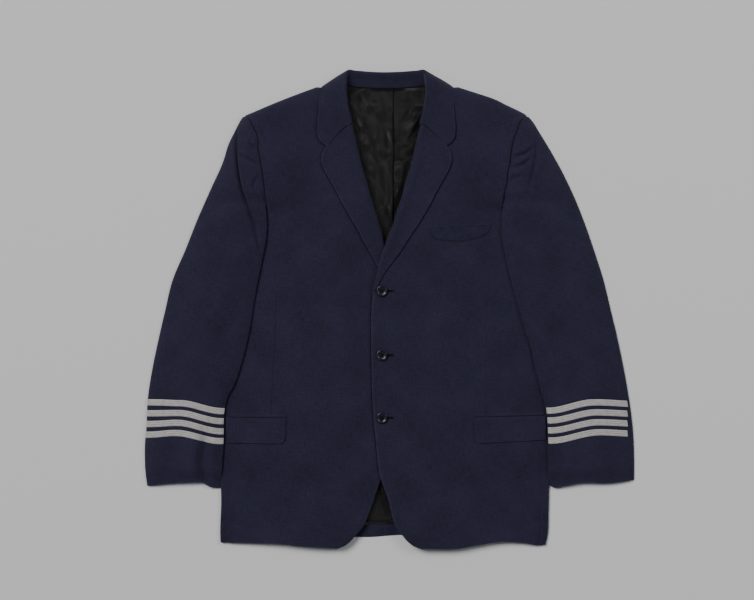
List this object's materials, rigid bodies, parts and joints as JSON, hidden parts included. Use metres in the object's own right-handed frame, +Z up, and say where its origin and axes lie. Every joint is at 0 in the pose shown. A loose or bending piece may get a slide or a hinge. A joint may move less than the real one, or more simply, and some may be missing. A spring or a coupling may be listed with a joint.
{
  "type": "uniform jacket",
  "caption": "Single-breasted flight officer's uniform jacket laid on its back, buttoned, with notch lapels, flap pockets, braid sleeve stripes and a breast patch for a wings badge.",
  "frame": {"origin": "centre of the bounding box at the surface the jacket lies on", "axes": "+Y from hem to collar, +Z up out of the jacket's front, +X towards the wearer's left"},
  "size_m": [0.8548, 0.837, 0.028],
  "materials": {
    "wool": "matte",
    "satin": "satin",
    "braid": "satin",
    "badge_felt": "matte",
    "thread": "satin",
    "tape": "satin",
    "interlining": "matte",
    "button": "gloss"
  },
  "bodies": {
    "torso": {"back_panel_left": "wool", "back_panel_right": "wool", "side_panel_left": "wool", "side_panel_right": "wool", "front_panel_left": "wool", "front_panel_right": "wool", "front_facing_left": "wool", "front_facing_right": "wool", "chest_canvas_left": "interlining", "chest_canvas_right": "interlining", "front_lining_left": "satin", "front_lining_right": "satin", "back_lining": "satin", "shoulder_pad_left": "interlining", "shoulder_pad_right": "interlining", "lapel_left": "wool", "lapel_right": "wool", "top_collar": "wool", "under_collar": "wool", "collar_stand": "wool", "wings_patch": "badge_felt", "pocket_welt_left": "wool", "pocket_welt_right": "wool", "pocket_bag_left": "satin", "pocket_bag_right": "satin", "inner_pocket_left": "satin", "inner_pocket_right": "satin", "buttonholes": "thread"},
    "sleeve_left": {"sleeve_upper_left": "wool", "sleeve_under_left": "wool", "sleeve_lining_left": "satin", "sleeve_head_left": "interlining", "sleeve_stripe_left_1": "braid", "sleeve_stripe_left_2": "braid", "sleeve_stripe_left_3": "braid", "sleeve_stripe_left_4": "braid"},
    "sleeve_right": {"sleeve_upper_right": "wool", "sleeve_under_right": "wool", "sleeve_lining_right": "satin", "sleeve_head_right": "interlining", "sleeve_stripe_right_1": "braid", "sleeve_stripe_right_2": "braid", "sleeve_stripe_right_3": "braid", "sleeve_stripe_right_4": "braid"},
    "flap_left": {"pocket_flap_left": "wool", "flap_lining_left": "satin"},
    "flap_right": {"pocket_flap_right": "wool", "flap_lining_right": "satin"},
    "button_top": {"front_button_top": "button", "button_thread_top": "thread"},
    "button_middle": {"front_button_middle": "button", "button_thread_middle": "thread"},
    "button_bottom": {"front_button_bottom": "button", "button_thread_bottom": "thread"},
    "hanger_loop": {"hanger_loop": "tape"}
  },
  "joints": [
    {"name": "sleeve_left_swing", "type": "hinge", "parent": "torso", "child": "sleeve_left", "pos_m": [0.257, 0.331, 0.01], "axis": [0, 0, 1], "range_deg": [0, 30]},
    {"name": "sleeve_right_swing", "type": "hinge", "parent": "torso", "child": "sleeve_right", "pos_m": [-0.254, 0.331, 0.01], "axis": [0, 0, -1], "range_deg": [0, 30]},
    {"name": "flap_left_lift", "type": "hinge", "parent": "torso", "child": "flap_left", "pos_m": [0.157, -0.189, 0.0198], "axis": [-0.9965, 0, 0.0832], "range_deg": [0, 120]},
    {"name": "flap_right_lift", "type": "hinge", "parent": "torso", "child": "flap_right", "pos_m": [-0.174, -0.189, 0.0188], "axis": [-0.9962, 0, -0.0866], "range_deg": [0, 120]},
    {"name": "hanger_loop_lift", "type": "hinge", "parent": "torso", "child": "hanger_loop", "pos_m": [0, 0.3898, 0.0098], "axis": [-1, 0, 0], "range_deg": [0, 60]},
    {"name": "button_top_turn", "type": "hinge", "parent": "torso", "child": "button_top", "pos_m": [-0.0055, 0.0315, 0.022], "axis": [0, 0, 1], "range_deg": [-45, 45]},
    {"name": "button_middle_turn", "type": "hinge", "parent": "torso", "child": "button_middle", "pos_m": [-0.0055, -0.0805, 0.022], "axis": [0, 0, 1], "range_deg": [-45, 45]},
    {"name": "button_bottom_turn", "type": "hinge", "parent": "torso", "child": "button_bottom", "pos_m": [-0.0055, -0.19, 0.022], "axis": [0, 0, 1], "range_deg": [-45, 45]}
  ]
}
